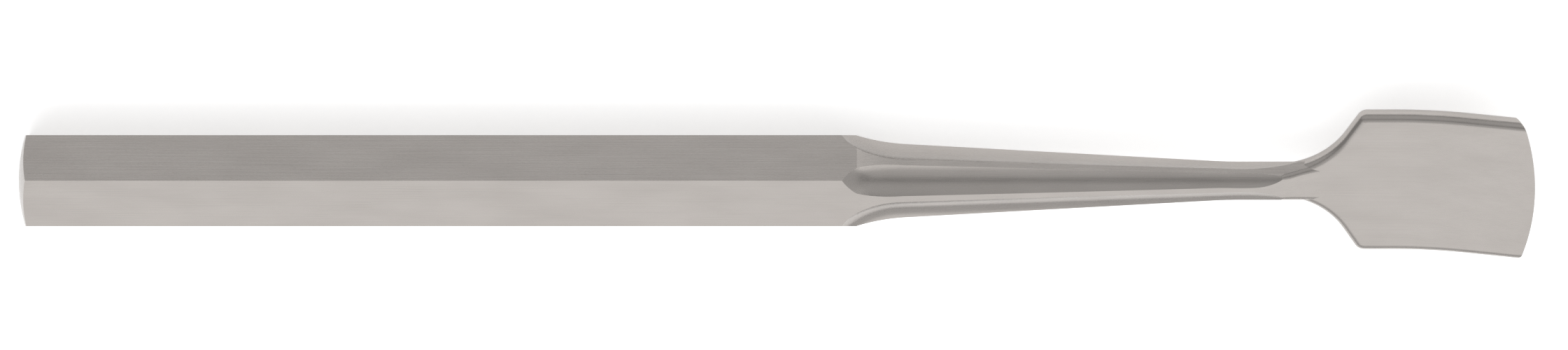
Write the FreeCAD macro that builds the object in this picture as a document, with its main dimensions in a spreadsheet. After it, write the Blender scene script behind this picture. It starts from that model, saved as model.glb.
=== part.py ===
"""Periosteal elevator: a one-piece stainless steel scraper for lifting tissue from bone.

A hexagonal handle with a domed end runs into a hexagonal shank that tapers to a slim neck. Every edge of
the shank is hollow ground into a shallow flute, so a narrow land is left of each flat. The neck widens in
concave shoulders into a broad blade whose end bends up to a convex edge, ground from underneath.

X runs from the handle's end to the edge, +Z is the side that the blade's face looks at. The part lies on
the handle's lower flat at Z = 0, with the origin under the middle of its length.
"""
import FreeCAD, Part
import math
import os
import Sketcher

# Driving dimensions in millimetres and degrees. Positions along the part are measured from the handle's end.
SIZES = {
    # Whole instrument
    "overall_length": 190.0,
    # Handle: flats, where they end, and the rounding of its end and long edges
    "handle_flats": 11.4,
    "handle_length": 105.0,
    "end_dome_radius": 20.0,
    "handle_edge_radius": 0.35,
    # Shank: run-out of each flat, taper of each flat, and the slim neck
    "runout_radius": 26.0,
    "taper_angle": 3.13,
    "neck_blend_radius": 60.0,
    "neck_start": 153.0,
    "neck_flats": 4.8,
    # Flutes: a round wheel that dives into each edge, follows the taper and lifts out at the neck
    "flute_radius": 5.0,
    "flute_start": 103.2,
    "flute_entry_radius": 12.0,
    "flute_entry_angle": 60.0,
    "flute_floor_angle": 2.32,
    "flute_exit_start": 152.0,
    "flute_exit_floor": 2.16,
    "flute_exit_radius": 40.0,
    "flute_exit_angle": 14.0,
    # Neck: where its top and bottom run down into the blade, and how far they end under its surface
    "ramp_start": 155.0,
    "ramp_end": 165.5,
    "ramp_sink": 0.15,
    # Blade in plan: root inside the neck, shoulders, width and the round of the edge
    "root_width": 4.3,
    "root_length": 0.5,
    "shoulder_position": 168.0,
    "shoulder_angle": 57.5,
    "shoulder_radius": 10.0,
    "shoulder_corner_radius": 1.4,
    "blade_width": 19.8,
    "edge_arc_radius": 30.0,
    # Blade from the side: height of its face over the handle's axis, thickness, and the bend up to the edge
    "face_height": 0.92,
    "blade_thickness": 2.5,
    "bend_start": 172.5,
    "bend_radius": 45.0,
    "bend_angle": 11.4,
    # Edge: the rounding of the blade's rims and of its last corners, and the grind from underneath
    "rim_radius": 1.2,
    "edge_corner_radius": 1.4,
    "edge_land": 0.2,
    "edge_grind_angle": 52.0,
}

FLATS = 6
# How far cutting profiles reach past the steel, and the least by which they clear it.
REACH = 8.0
MARGIN = 1.0
# Ends of a curve in a sketch.
START, END, CENTRE = range(1, 4)
# Angles through which cuts are turned: all round, and for the edge's grind past both corners of the blade.
FULL_TURN = 360
GRIND_TURN = 60
# A depth that passes through the widest piece from its middle to both sides.
ALL_THE_WAY = "2 * (sizes.handle_flats + sizes.blade_width)"

doc = FreeCAD.newDocument("periosteal_elevator")
sheet = doc.addObject("Spreadsheet::Sheet", "sizes")
for row, (alias, value) in enumerate(SIZES.items(), start=1):
    sheet.set(f"A{row}", str(value))
    sheet.setAlias(f"A{row}", alias)
doc.recompute()


def size(name):
    """A driving dimension as it stands in the sheet."""
    return float(getattr(sheet, name))


def radians(name):
    return math.radians(size(name))


def origin_feature(body, role):
    return next(item for item in body.Origin.OriginFeatures if item.Role == role)


def new_sketch(body, name, plane):
    sketch = body.newObject("Sketcher::SketchObject", name)
    sketch.AttachmentSupport = (origin_feature(body, plane), "")
    sketch.MapMode = "FlatFace"
    return sketch


def point(x, y):
    return FreeCAD.Vector(x, y, 0)


def line(sketch, start, end, construction=False):
    return sketch.addGeometry(Part.LineSegment(point(*start), point(*end)), construction)


def arc(sketch, centre, radius, first, last):
    """An arc that runs counter-clockwise from the first angle to the last, both in radians."""
    circle = Part.Circle(point(*centre), FreeCAD.Vector(0, 0, 1), radius)
    return sketch.addGeometry(Part.ArcOfCircle(circle, first, last), False)


def join(sketch, *ends):
    """Joins pairs of ends, each given as curve and end."""
    for first, second in zip(ends[::2], ends[1::2]):
        sketch.addConstraint(Sketcher.Constraint("Coincident", *first, *second))


def smooth(sketch, *ends):
    """Joins pairs of ends so that one curve runs on from the other with no kink."""
    for first, second in zip(ends[::2], ends[1::2]):
        sketch.addConstraint(Sketcher.Constraint("Tangent", *first, *second))


def hold(sketch, direction, *curves):
    for curve in curves:
        sketch.addConstraint(Sketcher.Constraint(direction, curve))


def measure(sketch, name, kind, *place, formula):
    """Adds a named dimension whose value follows a formula of the sheet's sizes."""
    value = float(sketch.evalExpression(formula))
    if kind == "Angle":
        value = math.radians(value)
    index = sketch.addConstraint(Sketcher.Constraint(kind, *place, value))
    sketch.renameConstraint(index, name)
    sketch.setExpression(f"Constraints.{name}", formula)


def from_origin(sketch, name, curve, end, x=None, y=None):
    """Places one end of a curve by its distances from the sketch's origin."""
    if x:
        measure(sketch, f"{name}_x", "DistanceX", -1, 1, curve, end, formula=x)
    if y:
        measure(sketch, f"{name}_y", "DistanceY", -1, 1, curve, end, formula=y)


def cut_through(body, name, profile):
    """Cuts a profile out of the body all the way, to both sides of its sketch."""
    pocket = body.newObject("PartDesign::Pocket", name)
    pocket.Profile = profile
    pocket.SideType = "Symmetric"
    pocket.Type = "Length"
    pocket.setExpression("Length", ALL_THE_WAY)
    return pocket


def repeat_on_every_flat(body, name, feature):
    """Repeats a cut around the handle's axis, once for each flat."""
    pattern = body.newObject("PartDesign::PolarPattern", name)
    pattern.Originals = [feature]
    pattern.Axis = (origin_feature(body, "X_Axis"), [""])
    pattern.Angle = FULL_TURN
    pattern.Occurrences = FLATS
    body.Tip = pattern
    return pattern


def round_edges(body, name, base, chosen, radius):
    """Rounds the edges of a feature for which the given test holds."""
    doc.recompute()
    edges = enumerate(base.Shape.Edges, start=1)
    names = [f"Edge{number}" for number, edge in edges if chosen(edge, base.Shape)]
    fillet = body.newObject("PartDesign::Fillet", name)
    fillet.Base = (base, names)
    fillet.setExpression("Radius", radius)
    return fillet


# Hexagonal bar that the handle and the shank are ground from


def hexagon(body):
    """The bar's section, with flats towards +Z and -Z."""
    sketch = new_sketch(body, "bar_section", "YZ_Plane")
    half = size("handle_flats") / 2
    reach = half / math.cos(math.pi / FLATS)
    corners = [
        (reach * math.cos(2 * math.pi * k / FLATS), reach * math.sin(2 * math.pi * k / FLATS))
        for k in range(FLATS)
    ]
    circle = Part.Circle(point(0, 0), FreeCAD.Vector(0, 0, 1), reach)
    around = sketch.addGeometry(circle, True)
    sides = [line(sketch, corners[k], corners[(k + 1) % FLATS]) for k in range(FLATS)]
    sketch.addConstraint(Sketcher.Constraint("Coincident", around, CENTRE, -1, 1))
    for k, side in enumerate(sides):
        join(sketch, (side, END), (sides[(k + 1) % FLATS], START))
        sketch.addConstraint(Sketcher.Constraint("PointOnObject", side, START, around))
        if k:
            sketch.addConstraint(Sketcher.Constraint("Equal", sides[0], side))
    hold(sketch, "Horizontal", sides[1])
    from_origin(sketch, "flat", sides[1], START, y="sizes.handle_flats / 2")
    return sketch


def flat_relief(body):
    """What is ground off each flat: a hollow run-out, the taper, and the neck."""
    sketch = new_sketch(body, "flat_relief", "XZ_Plane")
    start, surface = size("handle_length"), size("handle_flats") / 2
    runout, blend = size("runout_radius"), size("neck_blend_radius")
    taper = radians("taper_angle")
    neck_x, neck_z = size("neck_start"), size("neck_flats") / 2
    end = size("ramp_end") + REACH
    top = surface + REACH

    # The run-out touches the taper line where a circle through the flat's last point does.
    low = (neck_x - blend * math.sin(taper), neck_z + blend * (1 - math.cos(taper)))
    along = (low[0] - start) * math.cos(taper) + (surface - low[1]) * math.sin(taper)
    above = (surface - low[1]) * math.cos(taper) - (low[0] - start) * math.sin(taper)
    length = along - math.sqrt(above * (2 * runout - above))
    high = (low[0] - length * math.cos(taper), low[1] + length * math.sin(taper))
    centre = (high[0] + runout * math.sin(taper), high[1] + runout * math.cos(taper))

    down = -math.pi / 2
    first = math.atan2(surface - centre[1], start - centre[0])
    hollow = arc(sketch, centre, runout, first, down - taper)
    slope = line(sketch, high, low)
    curve = arc(sketch, (neck_x, neck_z + blend), blend, down - taper, down)
    neck = line(sketch, (neck_x, neck_z), (end, neck_z))
    right = line(sketch, (end, neck_z), (end, top))
    lid = line(sketch, (end, top), (start, top))
    left = line(sketch, (start, top), (start, surface))

    smooth(sketch, (hollow, END), (slope, START), (slope, END), (curve, START), (curve, END), (neck, START))
    join(sketch, (neck, END), (right, START), (right, END), (lid, START), (lid, END), (left, START))
    join(sketch, (left, END), (hollow, START))
    hold(sketch, "Horizontal", neck, lid)
    hold(sketch, "Vertical", right, left)
    from_origin(sketch, "flat_end", hollow, START, x="sizes.handle_length", y="sizes.handle_flats / 2")
    measure(sketch, "runout", "Radius", hollow, formula="sizes.runout_radius")
    measure(sketch, "taper", "Angle", slope, formula="-sizes.taper_angle")
    measure(sketch, "blend", "Radius", curve, formula="sizes.neck_blend_radius")
    from_origin(sketch, "neck", curve, END, x="sizes.neck_start", y="sizes.neck_flats / 2")
    from_origin(sketch, "past_end", neck, END, x=f"sizes.ramp_end + {REACH}")
    from_origin(sketch, "clear", lid, END, y=f"sizes.handle_flats / 2 + {REACH}")
    return sketch


def flute_path(body):
    """The line that the middle of the grinding wheel follows along the edge that points to +Y."""
    sketch = new_sketch(body, "flute_path", "XY_Plane")
    wheel, fall = size("flute_radius"), radians("flute_floor_angle")
    entry, leave = size("flute_entry_radius"), size("flute_exit_radius")
    edge = (size("flute_start"), size("handle_flats") / math.sqrt(3))
    low = (size("flute_exit_start"), size("flute_exit_floor") + wheel)

    # The floor of the entry passes through the handle's edge where the flute starts.
    along = (low[0] - edge[0]) * math.cos(fall) + (edge[1] - low[1]) * math.sin(fall)
    above = (edge[1] - low[1]) * math.cos(fall) - (low[0] - edge[0]) * math.sin(fall)
    length = along - math.sqrt(entry ** 2 - (above - entry + wheel) ** 2)
    high = (low[0] - length * math.cos(fall), low[1] + length * math.sin(fall))

    def above_line(at, distance):
        return (at[0] + distance * math.sin(fall), at[1] + distance * math.cos(fall))

    down = -math.pi / 2
    dive_centre = above_line(high, entry - wheel)
    dive = arc(sketch, dive_centre, entry - wheel, down - radians("flute_entry_angle"), down - fall)
    floor = line(sketch, high, low)
    lift_centre = above_line(low, leave - wheel)
    lift = arc(sketch, lift_centre, leave - wheel, down - fall, down + radians("flute_exit_angle"))
    rim_circle = Part.Circle(point(*dive_centre), FreeCAD.Vector(0, 0, 1), entry)
    rim = sketch.addGeometry(rim_circle, True)
    mark = sketch.addGeometry(Part.Point(point(*edge)), True)

    smooth(sketch, (dive, END), (floor, START), (floor, END), (lift, START))
    lift_height = "sizes.flute_exit_floor + sizes.flute_radius"
    from_origin(sketch, "lift", floor, END, x="sizes.flute_exit_start", y=lift_height)
    measure(sketch, "fall", "Angle", floor, formula="-sizes.flute_floor_angle")
    measure(sketch, "dive", "Radius", dive, formula="sizes.flute_entry_radius - sizes.flute_radius")
    measure(sketch, "rise", "Radius", lift, formula="sizes.flute_exit_radius - sizes.flute_radius")
    measure(sketch, "dive_turn", "Angle", dive, formula="sizes.flute_entry_angle - sizes.flute_floor_angle")
    measure(sketch, "rise_turn", "Angle", lift, formula="sizes.flute_floor_angle + sizes.flute_exit_angle")
    join(sketch, (rim, CENTRE), (dive, CENTRE))
    measure(sketch, "rim", "Radius", rim, formula="sizes.flute_entry_radius")
    sketch.addConstraint(Sketcher.Constraint("PointOnObject", mark, START, rim))
    from_origin(sketch, "start", mark, START, x="sizes.flute_start", y="sizes.handle_flats / sqrt(3)")
    return sketch


def flute(body, path):
    """One flute: the round wheel carried along its path."""
    section = body.newObject("Sketcher::SketchObject", "flute_section")
    section.AttachmentSupport = (path, "Edge1")
    section.MapMode = "NormalToEdge"
    section.MapPathParameter = 0
    wheel = section.addGeometry(Part.Circle(point(0, 0), FreeCAD.Vector(0, 0, 1), size("flute_radius")))
    section.addConstraint(Sketcher.Constraint("Coincident", wheel, CENTRE, -1, 1))
    measure(section, "wheel", "Radius", wheel, formula="sizes.flute_radius")
    doc.recompute()
    pipe = body.newObject("PartDesign::SubtractivePipe", "flute")
    pipe.Profile = section
    pipe.Spine = (path, ["Edge1", "Edge2", "Edge3"])
    return pipe


def end_dome(body):
    """What is turned off the handle's end to leave a shallow dome."""
    sketch = new_sketch(body, "end_dome", "XZ_Plane")
    radius = size("end_dome_radius")
    rim = size("handle_flats") / math.sqrt(3) + MARGIN
    reach = radius - math.sqrt(radius ** 2 - rim ** 2)
    curve = arc(sketch, (radius, 0), radius, math.pi - math.asin(rim / radius), math.pi)
    top = line(sketch, (reach, rim), (-REACH, rim))
    back = line(sketch, (-REACH, rim), (-REACH, 0))
    axis = line(sketch, (-REACH, 0), (0, 0))
    join(sketch, (curve, START), (top, START), (top, END), (back, START), (back, END), (axis, START))
    join(sketch, (axis, END), (curve, END), (curve, END), (-1, 1))
    hold(sketch, "Horizontal", top, axis)
    hold(sketch, "Vertical", back)
    sketch.addConstraint(Sketcher.Constraint("PointOnObject", curve, CENTRE, -1))
    measure(sketch, "dome", "Radius", curve, formula="sizes.end_dome_radius")
    from_origin(sketch, "rim", curve, START, y=f"sizes.handle_flats / sqrt(3) + {MARGIN}")
    measure(sketch, "reach", "DistanceX", axis, START, axis, END, formula=f"{REACH}")
    return sketch


def is_handle_edge(edge, shape):
    """An edge of the bar between two flats, or between a flat and the dome."""
    box = edge.BoundBox
    along = box.XLength > size("handle_length")
    around = size("handle_edge_radius") < box.XMin and box.XMax < size("end_dome_radius")
    return along or around


def neck_ramp(body, name, side, height):
    """What is ground off the neck's top (side 1) or bottom (side -1) where it runs down into the blade.

    The ramp is an even S of two arcs that ends at the given height.
    """
    sketch = new_sketch(body, name, "XZ_Plane")
    start, end = size("ramp_start"), size("ramp_end")
    neck = side * size("neck_flats") / 2
    level = float(sketch.evalExpression(height))
    outer = side * (size("neck_flats") / 2 + REACH)
    length, drop = end - start, abs(neck - level)
    radius = (length ** 2 + drop ** 2) / (4 * drop)
    turn = math.asin(length / 2 / radius)
    quarter = side * math.pi / 2

    leave = arc(sketch, (start, neck - side * radius), radius, *sorted((quarter - side * turn, quarter)))
    settle = arc(sketch, (end, level + side * radius), radius, *sorted((-quarter - side * turn, -quarter)))
    flat = line(sketch, (end, level), (end + MARGIN, level))
    right = line(sketch, (end + MARGIN, level), (end + MARGIN, outer))
    lid = line(sketch, (end + MARGIN, outer), (start, outer))
    left = line(sketch, (start, outer), (start, neck))
    near, middle = (END, START) if side > 0 else (START, END)

    smooth(sketch, (leave, middle), (settle, middle), (settle, near), (flat, START))
    join(sketch, (flat, END), (right, START), (right, END), (lid, START))
    join(sketch, (lid, END), (left, START), (left, END), (leave, near))
    hold(sketch, "Horizontal", flat, lid)
    hold(sketch, "Vertical", right, left)
    sketch.addConstraint(Sketcher.Constraint("Vertical", leave, CENTRE, leave, near))
    sketch.addConstraint(Sketcher.Constraint("Equal", leave, settle))
    sign = "" if side > 0 else "-"
    from_origin(sketch, "start", leave, near, x="sizes.ramp_start", y=f"{sign}sizes.neck_flats / 2")
    from_origin(sketch, "end", settle, near, x="sizes.ramp_end", y=height)
    from_origin(sketch, "past_end", flat, END, x=f"sizes.ramp_end + {MARGIN}")
    from_origin(sketch, "clear", lid, START, y=f"{sign}(sizes.neck_flats / 2 + {REACH})")
    return sketch


def make_bar():
    body = doc.addObject("PartDesign::Body", "handle_and_shank")
    section = hexagon(body)
    bar = body.newObject("PartDesign::Pad", "bar")
    bar.Profile = section
    bar.setExpression("Length", "sizes.ramp_end")
    dome = body.newObject("PartDesign::Groove", "dome")
    dome.Profile = end_dome(body)
    dome.ReferenceAxis = (origin_feature(body, "X_Axis"), [""])
    dome.Angle = FULL_TURN
    round_edges(body, "handle_edges", dome, is_handle_edge, "sizes.handle_edge_radius")
    relief = cut_through(body, "relief", flat_relief(body))
    repeat_on_every_flat(body, "six_flats", relief)
    path = flute_path(body)
    doc.recompute()
    repeat_on_every_flat(body, "six_flutes", flute(body, path))
    top = neck_ramp(body, "top_ramp", 1, "sizes.face_height - sizes.ramp_sink")
    cut_through(body, "neck_top", top)
    under_height = "sizes.face_height - sizes.blade_thickness + sizes.ramp_sink"
    cut_through(body, "neck_underside", neck_ramp(body, "under_ramp", -1, under_height))
    return body


# Blade, cut from a slab that follows its outline


def half_outline(body):
    """The blade's outline on the +Y side: root inside the neck, concave shoulder, corner and side."""
    sketch = new_sketch(body, "half_outline", "XY_Plane")
    half, root = size("blade_width") / 2, size("root_width") / 2
    shoulder, angle = size("shoulder_position"), radians("shoulder_angle")
    hollow_radius, corner_radius = size("shoulder_radius"), size("shoulder_corner_radius")
    end = size("overall_length") + REACH

    rise = hollow_radius * (1 - math.cos(angle))
    top = (shoulder - (half - root - rise) / math.tan(angle), root + rise)
    flare = (top[0] - hollow_radius * math.sin(angle), root)
    cut_back = corner_radius * math.tan(angle / 2)
    corner_start = (shoulder - cut_back * math.cos(angle), half - cut_back * math.sin(angle))
    corner_end = (shoulder + cut_back, half)
    start = flare[0] - size("root_length")
    quarter = math.pi / 2

    back = line(sketch, (start, 0), (start, root))
    neck = line(sketch, (start, root), flare)
    hollow = arc(sketch, (flare[0], root + hollow_radius), hollow_radius, -quarter, angle - quarter)
    slope = line(sketch, top, corner_start)
    corner = arc(sketch, (corner_end[0], half - corner_radius), corner_radius, quarter, quarter + angle)
    side = line(sketch, corner_end, (end, half))
    front = line(sketch, (end, half), (end, 0))
    middle = line(sketch, (end, 0), (start, 0))
    mark = sketch.addGeometry(Part.Point(point(shoulder, half)), True)

    join(sketch, (back, END), (neck, START), (side, END), (front, START))
    join(sketch, (front, END), (middle, START), (middle, END), (back, START))
    smooth(sketch, (neck, END), (hollow, START), (hollow, END), (slope, START))
    smooth(sketch, (slope, END), (corner, END), (corner, START), (side, START))
    hold(sketch, "Horizontal", neck, side, middle)
    hold(sketch, "Vertical", back, front)
    sketch.addConstraint(Sketcher.Constraint("PointOnObject", back, START, -1))
    sketch.addConstraint(Sketcher.Constraint("PointOnObject", mark, START, slope))
    sketch.addConstraint(Sketcher.Constraint("PointOnObject", mark, START, side))
    from_origin(sketch, "shoulder", mark, START, x="sizes.shoulder_position")
    from_origin(sketch, "half_width", side, START, y="sizes.blade_width / 2")
    from_origin(sketch, "root", neck, START, y="sizes.root_width / 2")
    from_origin(sketch, "past_edge", side, END, x=f"sizes.overall_length + {REACH}")
    measure(sketch, "root_length", "DistanceX", neck, START, neck, END, formula="sizes.root_length")
    measure(sketch, "hollow", "Radius", hollow, formula="sizes.shoulder_radius")
    measure(sketch, "corner", "Radius", corner, formula="sizes.shoulder_corner_radius")
    measure(sketch, "slope", "Angle", slope, formula="sizes.shoulder_angle")
    return sketch


def blade_side(body, name, side, height, bend_radius):
    """What lies past the blade's face (side 1) or back (side -1): level, then a bend and straight on."""
    sketch = new_sketch(body, name, "XZ_Plane")
    start, bend_x = size("ramp_start"), size("bend_start")
    level = float(sketch.evalExpression(height))
    bend, turn = float(sketch.evalExpression(bend_radius)), radians("bend_angle")
    far_x = size("overall_length") + REACH
    outer = side * (size("neck_flats") / 2 + REACH)
    bend_end = (bend_x + bend * math.sin(turn), level + bend * (1 - math.cos(turn)))
    tip = (far_x, bend_end[1] + (far_x - bend_end[0]) * math.tan(turn))
    down = -math.pi / 2

    flat = line(sketch, (start, level), (bend_x, level))
    curl = arc(sketch, (bend_x, level + bend), bend, down, turn + down)
    rise = line(sketch, bend_end, tip)
    right = line(sketch, tip, (far_x, outer))
    lid = line(sketch, (far_x, outer), (start, outer))
    left = line(sketch, (start, outer), (start, level))

    smooth(sketch, (flat, END), (curl, START), (curl, END), (rise, START))
    join(sketch, (rise, END), (right, START), (right, END), (lid, START))
    join(sketch, (lid, END), (left, START), (left, END), (flat, START))
    hold(sketch, "Horizontal", flat, lid)
    hold(sketch, "Vertical", right, left)
    sign = "" if side > 0 else "-"
    from_origin(sketch, "level", flat, START, x="sizes.ramp_start", y=height)
    from_origin(sketch, "bend_start", flat, END, x="sizes.bend_start")
    measure(sketch, "bend", "Radius", curl, formula=bend_radius)
    measure(sketch, "turn", "Angle", rise, formula="sizes.bend_angle")
    from_origin(sketch, "past_edge", rise, END, x=f"sizes.overall_length + {REACH}")
    from_origin(sketch, "clear", lid, START, y=f"{sign}(sizes.neck_flats / 2 + {REACH})")
    return sketch


# Where the bent face meets the edge. The land under it reaches a little further.
EDGE_X = "(sizes.overall_length - sizes.edge_land * sin(sizes.bend_angle))"
EDGE_Z = (
    "(sizes.face_height + sizes.bend_radius * (1 - cos(sizes.bend_angle))"
    f" + ({EDGE_X} - sizes.bend_start - sizes.bend_radius * sin(sizes.bend_angle)) * tan(sizes.bend_angle))"
)


def edge_grind(body):
    """What is ground off the blade's end, swung round a pivot in the plane of the bent face."""
    sketch = new_sketch(body, "edge_grind", "XZ_Plane")
    radius = size("edge_arc_radius")
    # The tilt needs an axis before its angle can follow the sheet.
    tilt = FreeCAD.Rotation(FreeCAD.Vector(0, 0, 1), size("bend_angle"))
    sketch.AttachmentOffset = FreeCAD.Placement(FreeCAD.Vector(), tilt)
    sketch.setExpression("AttachmentOffset.Rotation.Angle", "sizes.bend_angle")
    pivot_x = f"{EDGE_X} - sizes.edge_arc_radius * cos(sizes.bend_angle)"
    pivot_z = f"{EDGE_Z} - sizes.edge_arc_radius * sin(sizes.bend_angle)"
    sketch.setExpression("AttachmentOffset.Base.x", pivot_x)
    sketch.setExpression("AttachmentOffset.Base.y", pivot_z)
    land = size("edge_land")
    depth = size("blade_thickness") + REACH
    slope = (depth - land) / math.tan(radians("edge_grind_angle"))
    corners = [
        (radius, REACH),
        (radius, -land),
        (radius - slope, -depth),
        (radius + 2 * REACH, -depth),
        (radius + 2 * REACH, REACH),
    ]
    sides = [line(sketch, corner, corners[(k + 1) % len(corners)]) for k, corner in enumerate(corners)]
    for k, side in enumerate(sides):
        join(sketch, (side, END), (sides[(k + 1) % len(sides)], START))
    edge, bevel, below, front, above = sides
    hold(sketch, "Vertical", edge, front)
    hold(sketch, "Horizontal", below, above)
    from_origin(sketch, "land", bevel, START, x="sizes.edge_arc_radius", y="-sizes.edge_land")
    measure(sketch, "bevel", "Angle", bevel, formula="sizes.edge_grind_angle - 180")
    from_origin(sketch, "deep", below, START, y=f"-sizes.blade_thickness - {REACH}")
    from_origin(sketch, "out", front, END, x=f"sizes.edge_arc_radius + 2 * {REACH}", y=f"{REACH}")
    return sketch


def edge_corner(body):
    """What lies past the blade's +Y corner at the edge, which is rounded between its side and the edge."""
    sketch = new_sketch(body, "edge_corner", "XY_Plane")
    half, radius = size("blade_width") / 2, size("edge_corner_radius")
    swing = size("edge_arc_radius")
    inner = swing - radius
    angle = math.asin((half - radius) / inner)
    centre = (size("overall_length") - swing + inner * math.cos(angle), half - radius)
    low = (centre[0] + radius * math.cos(angle), centre[1] + radius * math.sin(angle))
    far_x, top = size("overall_length") + REACH, half + REACH

    curve = arc(sketch, centre, radius, angle, math.pi / 2)
    left = line(sketch, (centre[0], half), (centre[0], top))
    lid = line(sketch, (centre[0], top), (far_x, top))
    right = line(sketch, (far_x, top), (far_x, low[1]))
    floor = line(sketch, (far_x, low[1]), low)
    join(sketch, (curve, END), (left, START), (left, END), (lid, START), (lid, END), (right, START))
    join(sketch, (right, END), (floor, START), (floor, END), (curve, START))
    hold(sketch, "Horizontal", lid, floor)
    hold(sketch, "Vertical", left, right)
    sketch.addConstraint(Sketcher.Constraint("Vertical", curve, CENTRE, curve, END))
    reach = "(sizes.edge_arc_radius - sizes.edge_corner_radius)"
    rise = "(sizes.blade_width / 2 - sizes.edge_corner_radius)"
    along = f"sizes.overall_length - sizes.edge_arc_radius + sqrt({reach} ^ 2 - {rise} ^ 2)"
    from_origin(sketch, "centre", curve, CENTRE, x=along, y=rise)
    measure(sketch, "round", "Radius", curve, formula="sizes.edge_corner_radius")
    from_origin(sketch, "touch", curve, START, y=f"sizes.edge_arc_radius * {rise} / {reach}")
    past_edge, past_side = f"sizes.overall_length + {REACH}", f"sizes.blade_width / 2 + {REACH}"
    from_origin(sketch, "clear", lid, END, x=past_edge, y=past_side)
    return sketch


def is_rim(edge, shape):
    """An edge where the blade's face or back meets one of its side walls."""
    middle = edge.valueAt((edge.FirstParameter + edge.LastParameter) / 2)
    faces = shape.ancestorsOfType(edge, Part.Face)
    normals = [face.normalAt(*face.Surface.parameter(middle)) for face in faces]
    broad = any(abs(normal.z) > abs(normal.y) for normal in normals)
    wall = any(abs(normal.y) > abs(normal.z) for normal in normals)
    return broad and wall


def make_blade():
    body = doc.addObject("PartDesign::Body", "blade")
    slab = body.newObject("PartDesign::Pad", "slab")
    slab.Profile = half_outline(body)
    slab.SideType = "Symmetric"
    slab.setExpression("Length", f"sizes.neck_flats + {REACH}")
    mirror = body.newObject("PartDesign::Mirrored", "both_halves")
    mirror.Originals = [slab]
    mirror.MirrorPlane = (origin_feature(body, "XZ_Plane"), [""])
    body.Tip = mirror
    cut_through(body, "face", blade_side(body, "above_face", 1, "sizes.face_height", "sizes.bend_radius"))
    back_height = "sizes.face_height - sizes.blade_thickness"
    below = blade_side(body, "below_back", -1, back_height, "sizes.bend_radius + sizes.blade_thickness")
    back = cut_through(body, "back", below)
    round_edges(body, "rims", back, is_rim, "sizes.rim_radius")
    grind = body.newObject("PartDesign::Groove", "edge")
    sketch = edge_grind(body)
    grind.Profile = sketch
    grind.ReferenceAxis = (sketch, ["V_Axis"])
    grind.Midplane = True
    grind.Angle = GRIND_TURN
    corner = cut_through(body, "corner", edge_corner(body))
    both = body.newObject("PartDesign::Mirrored", "both_corners")
    both.Originals = [corner]
    both.MirrorPlane = (origin_feature(body, "XZ_Plane"), [""])
    body.Tip = both
    return body


bar = make_bar()
blade = make_blade()

elevator = doc.addObject("Part::Fuse", "elevator")
elevator.Base = bar
elevator.Tool = blade
elevator.Refine = True
elevator.setExpression("Placement.Base.x", "-sizes.overall_length / 2")
elevator.setExpression("Placement.Base.z", "sizes.handle_flats / 2")
doc.recompute()

# Nothing is exported unless every feature is sound and the part is one solid.
for item in doc.Objects:
    if "Invalid" in item.State or "Error" in item.State:
        raise RuntimeError(f"{item.Label} did not compute")
    if item.isDerivedFrom("Part::Feature") and (item.Shape.isNull() or not item.Shape.isValid()):
        raise RuntimeError(f"{item.Label} has no valid shape")
    if item.isDerivedFrom("Sketcher::SketchObject") and not item.FullyConstrained:
        raise RuntimeError(f"{item.Label} is not fully constrained")
if len(elevator.Shape.Solids) != 1:
    raise RuntimeError("the part is not one solid")
os.makedirs("parts", exist_ok=True)
elevator.Shape.exportStep("parts/elevator.step")

box = elevator.Shape.optimalBoundingBox()
print(f"elevator: {box.XLength:.2f} x {box.YLength:.2f} x {box.ZLength:.2f} mm, lowest Z {box.ZMin:.3f}")
print(f"volume {elevator.Shape.Volume:.0f} mm3, {len(elevator.Shape.Faces)} faces")
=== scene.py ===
# %% [markdown]
# A periosteal elevator is a surgeon's hand tool: one bar of stainless steel with a hexagonal handle, a slim
# fluted shank and a broad blade. This lesson takes its place and size from the CAD model, models it again
# with faces that shade well, and gives it a believable ground steel and light that suits bright metal.

import math

import bpy
from mathutils import Matrix, Vector


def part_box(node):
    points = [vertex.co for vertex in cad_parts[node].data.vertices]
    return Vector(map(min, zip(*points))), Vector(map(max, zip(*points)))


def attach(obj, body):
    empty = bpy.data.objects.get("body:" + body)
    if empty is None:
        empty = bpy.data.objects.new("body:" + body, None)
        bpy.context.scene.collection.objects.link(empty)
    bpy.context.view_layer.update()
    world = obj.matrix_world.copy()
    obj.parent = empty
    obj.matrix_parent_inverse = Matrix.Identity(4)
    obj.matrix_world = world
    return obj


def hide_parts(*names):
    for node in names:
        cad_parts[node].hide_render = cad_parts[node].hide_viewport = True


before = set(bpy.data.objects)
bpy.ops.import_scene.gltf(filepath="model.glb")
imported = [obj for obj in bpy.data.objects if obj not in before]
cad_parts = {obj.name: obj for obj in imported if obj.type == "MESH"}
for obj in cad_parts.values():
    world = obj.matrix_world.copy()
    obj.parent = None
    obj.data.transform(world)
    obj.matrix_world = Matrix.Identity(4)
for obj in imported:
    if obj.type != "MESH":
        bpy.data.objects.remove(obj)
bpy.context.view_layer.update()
elevator_low, elevator_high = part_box("elevator")
print("nodes:", sorted(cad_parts), "length in mm:", round((elevator_high.x - elevator_low.x) * 1000, 1))

# %% [markdown]
# Colours are easiest to pick from a photograph as sRGB hex values, but shaders work in linear light. One
# small function turns the first into the second, so every colour in the file is written the same way.

# %% Colour from hex


def linear(code):
    """A hex colour as linear red, green, blue and alpha."""
    channels = [int(code[k : k + 2], 16) / 255 for k in (1, 3, 5)]
    return [c / 12.92 if c <= 0.04045 else ((c + 0.055) / 1.055) ** 2.4 for c in channels] + [1.0]


print("mid grey is", [round(c, 3) for c in linear("#808080")])

# %% [markdown]
# A material is a tree of nodes. Adding one by hand takes three steps: make it, set its options, join its
# sockets. The helper below does the three at once, for any kind of node.

# %% Node helper


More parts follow.
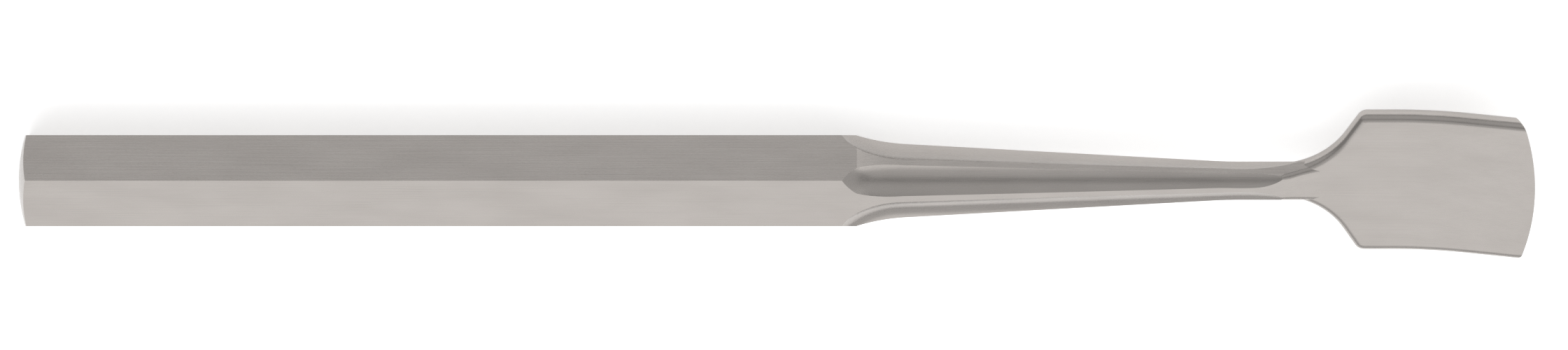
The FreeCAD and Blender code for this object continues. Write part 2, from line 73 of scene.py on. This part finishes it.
def add_node(tree, kind, sockets=None, **options):
    """Adds a node. A socket is given a constant, or the output of another node to link to."""
    node = tree.nodes.new(kind)
    for name, value in options.items():
        setattr(node, name, value)
    for name, value in (sockets or {}).items():
        if isinstance(value, bpy.types.NodeSocket):
            tree.links.new(value, node.inputs[name])
        else:
            node.inputs[name].default_value = value
    return node


def new_material(name):
    """A material with an empty node tree, and that tree."""
    material = bpy.data.materials.new(name)
    material.use_nodes = True
    material.node_tree.nodes.clear()
    return material, material.node_tree


print("node helpers: add_node, new_material")

# %% [markdown]
# The real tool is forged as one bar and then ground with wheels, so its flats are dead flat, its hollows are
# round and the lines between them are crisp. The CAD mesh has the right form, but its loose triangles shade
# badly where a hollow runs out. So the elevator is modelled again with fine, even faces, in the order in
# which a workshop could make it: bar, domed end, neck, flutes, blade, edge. It is drawn in millimetres from
# the middle of the handle's end, and moved to its place in metres when it is finished.

# %% Sizes in millimetres
MM = 0.001
LENGTH = 190.0
FLATS, HANDLE = 11.4, 105.0
NECK, NECK_START = 4.8, 153.0
RAMP_START, RAMP_END, RAMP_SINK = 155.0, 165.5, 0.15
WIDTH, THICKNESS, FACE = 19.8, 2.5, 0.92
BEND_START, BEND_RADIUS, BEND = 172.5, 45.0, math.radians(11.4)
# Two places that are nearer than this count as one.
CLOSE = 0.01
print("length over width:", round(LENGTH / WIDTH, 1))

# %% [markdown]
# The same few steps come back for each solid, so they get short helpers. The first three settle a new
# primitive in its place, select by place or direction, and turn the faces of a finished solid outwards.

# %% Place, select and face outwards


def settle(name, **place):
    """Names the new primitive, puts it in its place and writes that place into its mesh."""
    piece = bpy.context.active_object
    piece.name = name
    for setting, value in place.items():
        setattr(piece, setting, value)
    bpy.ops.object.transform_apply(location=True, rotation=True, scale=True)
    return piece


def choose(piece, kind, test):
    """Enters edit mode with only those points, edges or faces selected for which the test holds."""
    bpy.ops.object.mode_set(mode="EDIT")
    bpy.ops.mesh.select_mode(type=kind)
    bpy.ops.mesh.select_all(action="DESELECT")
    bpy.ops.object.mode_set(mode="OBJECT")
    items = {"VERT": piece.data.vertices, "EDGE": piece.data.edges, "FACE": piece.data.polygons}[kind]
    for item in items:
        item.select = test(item)
    bpy.ops.object.mode_set(mode="EDIT")


def face_outwards():
    """Turns all faces of the mesh in edit mode to the outside, and leaves edit mode."""
    bpy.ops.mesh.select_all(action="SELECT")
    bpy.ops.mesh.normals_make_consistent(inside=False)
    bpy.ops.object.mode_set(mode="OBJECT")


print("helpers: settle, choose, face_outwards")

# %% [markdown]
# A solid is cut away or joined with the exact boolean, and the tool is then thrown away. The boolean leaves
# its points in another order at each run, and a bevel or a merge that follows would come out a little
# differently. So they are sorted by their distance from the cursor, which is put at an odd place for that,
# from where hardly any two points are equally far.

# %% Cut and join
ORDER_PLACE = (-57.3, 31.7, 19.1)


def put_in_order():
    """Puts the points, edges and faces of the active piece in an order that is the same at each run."""
    cursor = bpy.context.scene.cursor
    cursor.location = ORDER_PLACE
    bpy.ops.object.mode_set(mode="EDIT")
    bpy.ops.mesh.select_all(action="SELECT")
    bpy.ops.mesh.sort_elements(type="CURSOR_DISTANCE", elements={"VERT", "EDGE", "FACE"})
    bpy.ops.object.mode_set(mode="OBJECT")
    cursor.location = (0, 0, 0)


def combine(piece, tool, operation):
    """Joins a solid to the piece or cuts it away, and throws the tool away."""
    bpy.ops.object.select_all(action="DESELECT")
    piece.select_set(True)
    bpy.context.view_layer.objects.active = piece
    bpy.ops.object.modifier_add(type="BOOLEAN")
    modifier = piece.modifiers[-1]
    modifier.operation, modifier.object, modifier.solver = operation, tool, "EXACT"
    modifier.material_mode = "TRANSFER"
    bpy.ops.object.modifier_apply(modifier=modifier.name)
    bpy.data.objects.remove(tool)
    put_in_order()


print("helpers: put_in_order, combine")

# %% [markdown]
# A curved strip is an edge that is pushed along a row of points, and most rows follow arcs. A cut can leave
# points nearly on each other, which a bevel doesn't like, so the last of these three merges them.

# %% Push along arcs and merge
# Directions in a plane, as angles from the first axis.
UP, DOWN = math.pi / 2, -math.pi / 2


def push_along(rows):
    """Extrudes what is selected from the first x, z and half width to each of the next ones."""
    for (x, z, half), (next_x, next_z, next_half) in zip(rows, rows[1:]):
        bpy.ops.mesh.extrude_region_move(TRANSFORM_OT_translate={"value": (next_x - x, 0, next_z - z)})
        if next_half != half:
            bpy.ops.transform.resize(value=(1, next_half / half, 1), center_override=(next_x, 0, next_z))


def arc_points(centre, radius, first, last, steps):
    """Points on an arc in a plane, from the first angle to the last."""
    turns = [first + (last - first) * k / steps for k in range(steps + 1)]
    return [(centre[0] + radius * math.cos(turn), centre[1] + radius * math.sin(turn)) for turn in turns]


def merge_points(distance):
    """Merges the points of the active piece that a cut has left nearly on each other."""
    bpy.ops.object.mode_set(mode="EDIT")
    bpy.ops.mesh.select_all(action="SELECT")
    bpy.ops.mesh.remove_doubles(threshold=distance)
    bpy.ops.object.mode_set(mode="OBJECT")


print("helpers: push_along, arc_points, merge_points")

# %% [markdown]
# Most tools mark the faces that they leave with a colour of their own, so that those can be found again
# later. After each stage the number of open edges is printed, which is 0 on a closed solid, and the size.

# %% Marks and measures


def stage_colour(name):
    """A plain material that only marks which tool made a face, until the steel goes on."""
    return bpy.data.materials.new(name)


def closed(piece):
    """The number of edges that don't have exactly two faces, and the piece's size."""
    uses = {}
    for face in piece.data.polygons:
        for key in face.edge_keys:
            uses[key] = uses.get(key, 0) + 1
    return sum(count != 2 for count in uses.values()), [round(v, 2) for v in piece.dimensions]


print("helpers: stage_colour, closed")

# %% [markdown]
# The hexagonal handle and the shank are one bar whose section only changes size. A hexagon is pushed along X
# and made smaller at each station: level for the handle, a hollow run-out, a straight taper, and a soft
# blend into the slim neck. The stations follow arcs that touch the taper line, so no kink is left.

# %% Stations of the bar
TAPER = math.radians(3.13)
RUNOUT, BLEND = 26.0, 60.0
low = (NECK_START - BLEND * math.sin(TAPER), NECK / 2 + BLEND * (1 - math.cos(TAPER)))
along = (low[0] - HANDLE) * math.cos(TAPER) + (FLATS / 2 - low[1]) * math.sin(TAPER)
above = (FLATS / 2 - low[1]) * math.cos(TAPER) - (low[0] - HANDLE) * math.sin(TAPER)
run = along - math.sqrt(above * (2 * RUNOUT - above))
high = (low[0] - run * math.cos(TAPER), low[1] + run * math.sin(TAPER))
hollow = (high[0] + RUNOUT * math.sin(TAPER), high[1] + RUNOUT * math.cos(TAPER))
first = math.atan2(FLATS / 2 - hollow[1], HANDLE - hollow[0])
stations = [(0.0, FLATS / 2)]
stations += arc_points(hollow, RUNOUT, first, DOWN - TAPER, steps=16)
stations += arc_points((NECK_START, NECK / 2 + BLEND), BLEND, DOWN - TAPER, DOWN, steps=8)
stations += [(RAMP_END, NECK / 2)]
print("bar:", len(stations), "stations")
print("taper from", [round(v, 2) for v in high], "to", [round(v, 2) for v in low])

# %% Bar
bpy.ops.object.select_all(action="DESELECT")
bpy.ops.mesh.primitive_circle_add(vertices=6, radius=FLATS / math.sqrt(3), fill_type="NGON")
elevator = settle("elevator_ground", rotation_euler=(0, math.pi / 2, 0))
choose(elevator, "FACE", lambda face: True)
for (x, half), (next_x, next_half) in zip(stations, stations[1:]):
    bpy.ops.mesh.extrude_region_move(TRANSFORM_OT_translate={"value": (next_x - x, 0, 0)})
    bpy.ops.transform.resize(value=(1, next_half / half, next_half / half), center_override=(next_x, 0, 0))
face_outwards()
elevator.data.materials.append(stage_colour("bar"))
print("bar:", closed(elevator))

# %% [markdown]
# The handle's end is turned to a shallow dome. A bullet, half a ball and half a wide cylinder, keeps what
# lies inside it. Then a small bevel breaks the edges that the hand would feel: the six long ones and the
# dome's rim.

# %% Domed end
DOME = 20.0
bpy.ops.object.select_all(action="DESELECT")
bpy.ops.mesh.primitive_uv_sphere_add(segments=96, ring_count=160, radius=DOME)
bullet = settle("bullet", rotation_euler=(0, math.pi / 2, 0), location=(DOME, 0, 0))
choose(bullet, "VERT", lambda point: point.co.x > DOME - CLOSE)
bpy.ops.transform.translate(value=(LENGTH, 0, 0))
bpy.ops.object.mode_set(mode="OBJECT")
combine(elevator, bullet, "INTERSECT")
print("domed bar:", closed(elevator))

# %% Broken edges
EDGE_ROUND = 0.35
# Flats that meet at 120 degrees are tangent to a round of some radius at 0.58 of that radius from the edge.
SIXTY_DEGREE_TOUCH = math.tan(math.radians(30))
# The dome's rim lies well within this length, and no other short edge there turns so sharply.
RIM_END, SHARP = 3.0, math.radians(30)


def edge_normals(piece):
    """The directions in which the faces at each edge look."""
    found = {}
    for face in piece.data.polygons:
        for key in face.edge_keys:
            found.setdefault(key, []).append(face.normal.copy())
    return found


points = elevator.data.vertices
normals = edge_normals(elevator)


def felt_edge(edge):
    """A long edge of the handle, or an edge between a flat and the dome."""
    ends = [points[k].co.x for k in edge.vertices]
    pair = normals[tuple(sorted(edge.vertices))]
    long_edge = max(ends) - min(ends) > HANDLE / 2
    return long_edge or max(ends) < RIM_END and pair[0].angle(pair[1]) > SHARP


choose(elevator, "EDGE", felt_edge)
touch = EDGE_ROUND * SIXTY_DEGREE_TOUCH
bpy.ops.mesh.bevel(offset=touch, segments=4, loop_slide=False, clamp_overlap=True)
bpy.ops.object.mode_set(mode="OBJECT")
print("broken edges:", closed(elevator))

# %% [markdown]
# Above and below, the neck runs down into the blade in an even S. Each ramp is cut by a block whose lower
# side has that S: an edge across the tool is pushed along the curve, and the strip is then given height. The
# belt rolls over the upper ramp's sides, which a bevel with six steps does here. The lower ramp keeps its
# edges.

# %% Neck ramps
RAMP_STEPS, RAMP_OVERRUN = 10, 1.0


def ramp_block(name, side, level):
    """What is taken off above (side 1) or below (side -1) the neck, down to a level."""
    neck, length = side * NECK / 2, RAMP_END - RAMP_START
    drop = abs(neck - level)
    radius = (length**2 + drop**2) / (4 * drop)
    turn = math.asin(length / 2 / radius)
    centre = (RAMP_START, neck - side * radius)
    leave = arc_points(centre, radius, side * UP, side * (UP - turn), RAMP_STEPS)
    centre = (RAMP_END, level + side * radius)
    enter = arc_points(centre, radius, -side * (UP + turn), -side * UP, RAMP_STEPS)
    rows = [(x, z, FLATS) for x, z in leave + enter[1:] + [(RAMP_END + RAMP_OVERRUN, level)]]
    bpy.ops.object.select_all(action="DESELECT")
    bpy.ops.mesh.primitive_plane_add(size=2 * FLATS)
    block = settle(name, location=(rows[0][0] - FLATS, 0, rows[0][1]))
    choose(block, "VERT", lambda point: point.co.x < rows[0][0] - FLATS)
    bpy.ops.mesh.delete(type="VERT")
    bpy.ops.object.mode_set(mode="OBJECT")
    choose(block, "EDGE", lambda edge: True)
    push_along(rows)
    bpy.ops.mesh.select_all(action="SELECT")
    bpy.ops.mesh.extrude_region_move(TRANSFORM_OT_translate={"value": (0, 0, side * FLATS)})
    face_outwards()
    return block


combine(elevator, ramp_block("top_ramp", 1, FACE - RAMP_SINK), "DIFFERENCE")
combine(elevator, ramp_block("under_ramp", -1, FACE - THICKNESS + RAMP_SINK), "DIFFERENCE")
print("neck:", closed(elevator))

# %% Rounded sides of the upper ramp
RAMP_ROUND = 0.9
# The flutes will take away the sides of the ramp's first few millimetres, so the round starts beyond them.
ROUND_START = RAMP_START + 3
# The upward part of a face's direction is more than this on the upper ramp, and less on the flats beside it.
LOOKS_UP = 0.85
# The two cuts left some open edges between points that lie nearly on each other. The merge closes them.
merge_points(CLOSE)
normals = edge_normals(elevator)


def ramp_side(edge):
    """An edge between the upper ramp, which looks up, and a flat of the neck, which looks aside."""
    ends = [points[k].co.x for k in edge.vertices]
    pair = normals[tuple(sorted(edge.vertices))]
    looks_up = sum(normal.z > LOOKS_UP for normal in pair)
    return min(ends) > ROUND_START and max(ends) - min(ends) > CLOSE and looks_up == 1


points = elevator.data.vertices
choose(elevator, "EDGE", ramp_side)
touch = RAMP_ROUND * SIXTY_DEGREE_TOUCH
bpy.ops.mesh.bevel(offset=touch, segments=6, loop_slide=False, clamp_overlap=False)
bpy.ops.object.mode_set(mode="OBJECT")
print("rounded ramp:", closed(elevator))

# %% [markdown]
# The flutes take the most skill on the real tool. A round wheel is lowered into each edge where the handle
# ends, follows the taper, and is lifted out at the neck. Here the wheel is a circle that spins about the
# dive's centre, runs straight, and spins about the lift's centre. The tube it leaves behind is cut from all
# six edges.

# %% Path of the wheel
WHEEL, DIVE, LIFT = 5.0, 12.0, 40.0
DIVE_TURN, FALL, LIFT_TURN = math.radians(60), math.radians(2.32), math.radians(14)
FLUTE_START, FLUTE_END, FLUTE_FLOOR = 103.2, 152.0, 2.16
edge_start = (FLUTE_START, FLATS / math.sqrt(3))
wheel_low = (FLUTE_END, FLUTE_FLOOR + WHEEL)
reach, drop = wheel_low[0] - edge_start[0], edge_start[1] - wheel_low[1]
along = reach * math.cos(FALL) + drop * math.sin(FALL)
above = drop * math.cos(FALL) - reach * math.sin(FALL)
run = along - math.sqrt(DIVE**2 - (above - DIVE + WHEEL) ** 2)
wheel_high = (wheel_low[0] - run * math.cos(FALL), wheel_low[1] + run * math.sin(FALL))
dive, lift = DIVE - WHEEL, LIFT - WHEEL
dive_centre = (wheel_high[0] + dive * math.sin(FALL), wheel_high[1] + dive * math.cos(FALL))
lift_centre = (wheel_low[0] + lift * math.sin(FALL), wheel_low[1] + lift * math.cos(FALL))
dive_start = arc_points(dive_centre, dive, DOWN - DIVE_TURN, 0, steps=1)[0]
print("wheel goes straight from", [round(v, 2) for v in wheel_high], "to", wheel_low)

# %% Flutes
flute_mark = stage_colour("flutes")


def fluting_wheel(turn):
    """The tube that the wheel leaves behind, for the edge at some angle round the handle."""
    bpy.ops.object.select_all(action="DESELECT")
    bpy.ops.mesh.primitive_circle_add(vertices=144, radius=WHEEL, fill_type="NOTHING")
    wheel = settle("wheel", rotation_euler=(0, math.pi / 2, -DIVE_TURN), location=(*dive_start, 0))
    choose(wheel, "EDGE", lambda edge: True)
    bpy.ops.mesh.spin(steps=30, angle=DIVE_TURN - FALL, center=(*dive_centre, 0), axis=(0, 0, -1))
    step = (wheel_low[0] - wheel_high[0], wheel_low[1] - wheel_high[1], 0)
    bpy.ops.mesh.extrude_region_move(TRANSFORM_OT_translate={"value": step})
    bpy.ops.mesh.spin(steps=24, angle=LIFT_TURN + FALL, center=(*lift_centre, 0), axis=(0, 0, -1))
    bpy.ops.mesh.select_all(action="DESELECT")
    bpy.ops.mesh.select_non_manifold()
    bpy.ops.mesh.edge_face_add()
    face_outwards()
    wheel.data.materials.append(flute_mark)
    return settle("wheel", rotation_euler=(turn, 0, 0))


for k in range(6):
    combine(elevator, fluting_wheel(k * math.pi / 3), "DIFFERENCE")
print("fluted:", closed(elevator))

# %% [markdown]
# The blade starts as a flat plate. Its outline is pushed out of a narrow root: a hollow shoulder, a straight
# slope, a small round corner and the parallel side. The plate gets its thickness and then a bevel with many
# steps, because the real one's rims are rounded until hardly any side wall is left.

# %% Outline of the blade
ROOT, SHOULDER, SLOPE = 4.3 / 2, 168.15, math.radians(57.5)
HOLLOW, CORNER = 10.0, 1.4
# The plate starts a little inside the neck, and goes on past the edge for the grinder.
LEAD, SPARE = 0.5, 5.0
rise = HOLLOW * (1 - math.cos(SLOPE))
flare = SHOULDER - (WIDTH / 2 - ROOT - rise) / math.tan(SLOPE) - HOLLOW * math.sin(SLOPE)
corner_end = SHOULDER + CORNER * math.tan(SLOPE / 2)
outline = [(flare - LEAD, ROOT)]
outline += arc_points((flare, ROOT + HOLLOW), HOLLOW, DOWN, DOWN + SLOPE, steps=20)
outline += arc_points((corner_end, WIDTH / 2 - CORNER), CORNER, UP + SLOPE, UP, steps=8)
# The bend needs evenly spaced lines across the plate.
BENDS = 14
bend_step = BEND_RADIUS * BEND / BENDS
bend_lines = [BEND_START + bend_step * (k + 0.5) for k in range(BENDS)]
outline += [(x, WIDTH / 2) for x in bend_lines + [LENGTH + SPARE]]
print("blade outline:", len(outline), "stations from x =", round(outline[0][0], 2))

# %% Plate with round rims
RIM_ROUND = 1.2
bpy.ops.object.select_all(action="DESELECT")
bpy.ops.mesh.primitive_plane_add(size=2 * ROOT)
plate = settle("blade", location=(outline[0][0] - ROOT, 0, FACE))
choose(plate, "VERT", lambda point: point.co.x < outline[0][0] - ROOT)
bpy.ops.mesh.delete(type="VERT")
bpy.ops.object.mode_set(mode="OBJECT")
choose(plate, "EDGE", lambda edge: True)
push_along([(x, FACE, half) for x, half in outline])
bpy.ops.mesh.select_all(action="SELECT")
bpy.ops.mesh.extrude_region_move(TRANSFORM_OT_translate={"value": (0, 0, -THICKNESS)})
face_outwards()


def rim_edge(edge):
    """An edge along the outline, on the face or on the back."""
    a, b = [plate.data.vertices[k].co for k in edge.vertices]
    return a.y * b.y > 0 and abs(a.z - b.z) < CLOSE


choose(plate, "EDGE", rim_edge)
bpy.ops.mesh.bevel(offset=RIM_ROUND, segments=10, loop_slide=False, clamp_overlap=False)
bpy.ops.object.mode_set(mode="OBJECT")
print("plate:", closed(plate))

# %% [markdown]
# The end is bent upwards to scrape. All that lies past a line is turned a little about that line, and again
# about the next, so that the face follows an arc.

# %% Bend
flat_x = [point.co.x for point in plate.data.vertices]
pivot = Vector((bend_lines[0], 0, FACE))
for k, line in enumerate(bend_lines):
    choose(plate, "VERT", lambda point: flat_x[point.index] > line + CLOSE)
    # With no window, this operator turns the other way.
    bpy.ops.transform.rotate(value=BEND / BENDS, orient_axis="Y", center_override=pivot)
    bpy.ops.object.mode_set(mode="OBJECT")
    turned = BEND * (k + 1) / BENDS
    pivot += bend_step * Vector((math.cos(turned), 0, math.sin(turned)))
plate.data.materials.append(stage_colour("blade"))
print("bent plate:", closed(plate))
combine(elevator, plate, "UNION")
print("with blade:", closed(elevator))

# %% [markdown]
# The edge is ground from underneath on a pivot, which leaves it convex with a hair of land. A profile with
# the land and the bevel is spun about the pivot, tilted like the blade's end, and cut away.

# %% Ground edge
ARC, LAND, BEVEL = 30.0, 0.2, math.radians(52)
# Blocks that only cut away are this large, and the grinder sweeps through this angle.
BLOCK, SWEEP = 8.0, math.radians(60)
tip_x = LENGTH - LAND * math.sin(BEND)
tip_z = FACE + BEND_RADIUS * (1 - math.cos(BEND))
tip_z += (tip_x - BEND_START - BEND_RADIUS * math.sin(BEND)) * math.tan(BEND)
bpy.ops.object.select_all(action="DESELECT")
bpy.ops.mesh.primitive_plane_add(size=BLOCK)
place = (ARC + BLOCK / 2, 0, BLOCK / 2 - LAND)
grinder = settle("grinder", rotation_euler=(math.pi / 2, 0, 0), location=place)
choose(grinder, "EDGE", lambda edge: all(grinder.data.vertices[k].co.z < 0 for k in edge.vertices))
bpy.ops.mesh.extrude_region_move(TRANSFORM_OT_translate={"value": (0, 0, -BLOCK)})
bpy.ops.object.mode_set(mode="OBJECT")
choose(grinder, "VERT", lambda point: point.co.z < -BLOCK and point.co.x < ARC + BLOCK / 2)
bpy.ops.transform.translate(value=(-BLOCK / math.tan(BEVEL), 0, 0))
bpy.ops.object.mode_set(mode="OBJECT")
settle("grinder", rotation_euler=(0, 0, -SWEEP / 2))
choose(grinder, "FACE", lambda face: True)
bpy.ops.mesh.spin(steps=60, angle=SWEEP, center=(0, 0, 0), axis=(0, 0, -1))
face_outwards()
pivot = (tip_x - ARC * math.cos(BEND), 0, tip_z - ARC * math.sin(BEND))
settle("grinder", rotation_euler=(0, -BEND, 0), location=pivot)
grinder.data.materials.append(stage_colour("grind"))
print("grinder:", closed(grinder))
combine(elevator, grinder, "DIFFERENCE")
print("ground:", closed(elevator))

# %% [markdown]
# The two corners at the edge are rounded, so that they don't catch. A block minus a post of the corner's
# radius is what has to go.

# %% Rounded corners at the edge
TIP_CORNER, POST_HEIGHT = 1.4, 20.0
# The post touches the blade's side and the edge's arc, and the block starts where it touches the arc.
corner_turn = math.asin((WIDTH / 2 - TIP_CORNER) / (ARC - TIP_CORNER))
corner_x = LENGTH - ARC + (ARC - TIP_CORNER) * math.cos(corner_turn)
touch_y = ARC * math.sin(corner_turn)
corner_mark = stage_colour("corners")
for side in (1, -1):
    bpy.ops.object.select_all(action="DESELECT")
    bpy.ops.mesh.primitive_cube_add(size=BLOCK)
    place = (corner_x + BLOCK / 2, side * (touch_y + BLOCK / 2), BLOCK / 2)
    block = settle("corner_block", location=place)
    block.data.materials.append(corner_mark)
    bpy.ops.object.select_all(action="DESELECT")
    bpy.ops.mesh.primitive_cylinder_add(vertices=128, radius=TIP_CORNER, depth=POST_HEIGHT)
    post = settle("post", location=(corner_x, side * (WIDTH / 2 - TIP_CORNER), 0))
    post.data.materials.append(corner_mark)
    combine(block, post, "DIFFERENCE")
    combine(elevator, block, "DIFFERENCE")
print("corners:", closed(elevator))

# %% [markdown]
# Where two mark colours meet, the line between them is found and marked sharp. All else is shaded smooth
# where the turn is small, and weighted normals keep the broad flats from bending at their edges. Then the
# piece moves to its place in metres.

# %% Crisp lines and soft hollows
# Points that the later cuts left nearly on each other are nearer than this.
LEFTOVER = 0.0005
SMOOTH_TURN = math.radians(24)
merge_points(LEFTOVER)
bpy.ops.object.mode_set(mode="EDIT")
bpy.ops.mesh.select_mode(type="FACE")
for slot in range(len(elevator.material_slots)):
    bpy.ops.mesh.select_all(action="DESELECT")
    elevator.active_material_index = slot
    bpy.ops.object.material_slot_select()
    bpy.ops.mesh.region_to_loop()
    bpy.ops.mesh.mark_sharp()
    bpy.ops.mesh.select_mode(type="FACE")
bpy.ops.object.mode_set(mode="OBJECT")
bpy.ops.object.shade_smooth_by_angle(angle=SMOOTH_TURN, keep_sharp_edges=True)
bpy.ops.object.modifier_add(type="WEIGHTED_NORMAL")
elevator.modifiers[-1].keep_sharp = True
bpy.ops.object.modifier_apply(modifier=elevator.modifiers[-1].name)
place = (-LENGTH / 2 * MM, 0, FLATS / 2 * MM)
settle("elevator_ground", scale=(MM, MM, MM), location=place)
print("elevator:", closed(elevator), len(elevator.data.polygons), "faces")

# %% [markdown]
# The steel is a hardened stainless grade, ground with a fine belt along its length and left satin so that it
# doesn't dazzle under theatre lamps. The eye gets a slightly warm grey, soft reflections, and faint marks
# that run lengthwise. The marks are a noise that is stretched along X. They roughen and dent the surface a
# little, which spreads the reflections across the marks as on the real thing.

# %% Satin ground stainless steel
steel, tree = new_material("satin_ground_stainless_steel")
surface = add_node(tree, "ShaderNodeTexCoord").outputs["Object"]


def stretched_noise(length, width, detail):
    """Noise in streaks of a real length and width in millimetres, along X."""
    scale = (1 / (length * MM), 1 / (width * MM), 1 / (width * MM))
    mapping = add_node(tree, "ShaderNodeMapping", {"Vector": surface, "Scale": scale})
    sockets = {"Vector": mapping.outputs["Vector"], "Scale": 1.0, "Detail": detail}
    return add_node(tree, "ShaderNodeTexNoise", sockets).outputs[0]


# Belt marks are about 0.03 mm wide. They are drawn 0.2 mm wide and 12 mm long, because finer ones than that
# don't show in the picture.
marks = stretched_noise(12, 0.2, 2.0)
# Handling and polishing leave soft patches.
patches = stretched_noise(9, 3, 3.0)
print("steel: two patterns")

# %% The steel's shader
# Nearly all of a noise lies between these two values.
NOISE_LOW, NOISE_HIGH = 0.3, 0.7
tint = add_node(tree, "ShaderNodeValToRGB", {"Fac": patches})
for stop, position, code in zip(tint.color_ramp.elements, (NOISE_LOW, NOISE_HIGH), ("#A6A19D", "#ACA7A3")):
    stop.position = position
    stop.color = linear(code)
roughness = add_node(
    tree,
    "ShaderNodeMapRange",
    {"Value": marks, "From Min": NOISE_LOW, "From Max": NOISE_HIGH, "To Min": 0.22, "To Max": 0.3},
)
dents = add_node(tree, "ShaderNodeBump", {"Height": marks, "Strength": 0.25, "Distance": 0.01 * MM})
shader = add_node(
    tree,
    "ShaderNodeBsdfPrincipled",
    {
        "Base Color": tint.outputs["Color"],
        "Metallic": 1.0,
        "Roughness": roughness.outputs["Result"],
        "Normal": dents.outputs["Normal"],
    },
)
add_node(tree, "ShaderNodeOutputMaterial", {"Surface": shader.outputs["BSDF"]})
elevator.data.materials.clear()
elevator.data.materials.append(steel)
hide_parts("elevator")
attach(elevator, "root")
print("steel on", elevator.name)

# %% [markdown]
# The tool lies on a plain white table that fills the picture. The table's own light tops it up to white for
# the camera and in reflections, and the diffuse part still takes the tool's soft shadow.

# %% White table
# It lies a hair lower than the tool. Two faces in one plane would show as speckle from below.
TABLE_SIZE, TABLE_GAP, TABLE_GLOW = 6.0, 0.02 * MM, 0.53
bpy.ops.mesh.primitive_plane_add(size=TABLE_SIZE, location=(0, 0, -TABLE_GAP))
table = bpy.context.active_object
table.name = "table"
paper, tree = new_material("matt_white_paper")
path = add_node(tree, "ShaderNodeLightPath")
seen = path.outputs["Is Camera Ray"]
for ray in ("Is Glossy Ray", "Is Transmission Ray"):
    seen = add_node(tree, "ShaderNodeMath", {0: seen, 1: path.outputs[ray]}, operation="MAXIMUM").outputs[0]
glow = add_node(tree, "ShaderNodeMath", {0: seen, 1: TABLE_GLOW}, operation="MULTIPLY")
light = add_node(tree, "ShaderNodeEmission", {"Color": linear("#FFFFFF"), "Strength": glow.outputs[0]})
matt = add_node(tree, "ShaderNodeBsdfDiffuse", {"Color": linear("#F4F4F4")})
both = add_node(tree, "ShaderNodeAddShader", {0: light.outputs[0], 1: matt.outputs[0]})
add_node(tree, "ShaderNodeOutputMaterial", {"Surface": both.outputs[0]})
table.data.materials.append(paper)
print("table", [round(v, 1) for v in table.dimensions])

# %% [markdown]
# Bright metal shows its surroundings, so its light is made of soft panels. A broad one and a smaller key
# stand above and in front, where the top flat and the blade's face mirror them. A fill stands behind the
# camera's line, for the flats and hollows that look away, and a fourth at the blade's end lights the steep
# start of the flutes. The gap between key and fill is where the camera is. The hollows mirror it as a thin
# dark line.

# %% Soft light
# The camera and the panels all aim at this point, which is the middle of the picture, in metres.
target = Vector((0.00096, 0.00062, 0.00535))
ROOM_LIGHT = 0.41
world = bpy.data.worlds.new("grey_room")
bpy.context.scene.world = world
world.use_nodes = True
background = world.node_tree.nodes["Background"]
background.inputs["Color"].default_value = linear("#FFFFFF")
background.inputs["Strength"].default_value = ROOM_LIGHT


def soft_panel(name, tilt, distance, length, width, radiance, swing=0):
    """A panel lamp above the tool, tilted towards -Y and swung towards +X by some degrees."""
    lamp = bpy.data.lights.new(name, "AREA")
    lamp.shape = "RECTANGLE"
    lamp.size = length
    lamp.size_y = width
    # A panel's glow is its power shared over its area and over the directions it shines in.
    lamp.energy = radiance * math.pi * length * width
    panel = bpy.data.objects.new(name, lamp)
    bpy.context.scene.collection.objects.link(panel)
    turn = Matrix.Rotation(math.radians(tilt), 4, "X") @ Matrix.Rotation(math.radians(swing), 4, "Y")
    panel.matrix_world = Matrix.Translation(target) @ turn @ Matrix.Translation((0, 0, distance))


soft_panel("broad_panel", tilt=32, distance=1.0, length=2.6, width=2.6, radiance=0.36)
soft_panel("key_panel", tilt=32, distance=0.9, length=2.3, width=0.85, radiance=0.56)
soft_panel("fill_panel", tilt=-56, distance=1.0, length=2.6, width=0.76, radiance=0.3)
soft_panel("end_panel", tilt=-25, distance=1.0, length=0.7, width=1.6, radiance=0.3, swing=75)

# %% [markdown]
# The photograph is taken with a long lens from above and a little behind, with the tool's handle to the
# left. The camera looks straight down and is then tipped by 30 degrees about X. Its distance makes the tool
# fill the picture's width as it does in the photograph, which is 2241 by 500 pixels.

# %% Camera
PICTURE_WIDTH = 2241
# What one pixel of the photograph covers on the tool.
PIXEL = 0.08776 * MM
CAMERA_TIP = math.radians(-30)
lens = bpy.data.cameras.new("long_lens")
lens.sensor_width = 36.0
lens.lens = 300.0
camera = bpy.data.objects.new("camera", lens)
bpy.context.scene.collection.objects.link(camera)
bpy.context.scene.camera = camera
distance = PICTURE_WIDTH * PIXEL * lens.lens / lens.sensor_width
tip = Matrix.Rotation(CAMERA_TIP, 4, "X")
camera.matrix_world = Matrix.Translation(target) @ tip @ Matrix.Translation((0, 0, distance))
lens.clip_start = 0.01
lens.clip_end = 20
print("camera distance", round(distance, 3), "m")

# %% [markdown]
# The view transform is plain, so that colours come out as written.

# %% Finish
bpy.context.scene.view_settings.view_transform = "Standard"
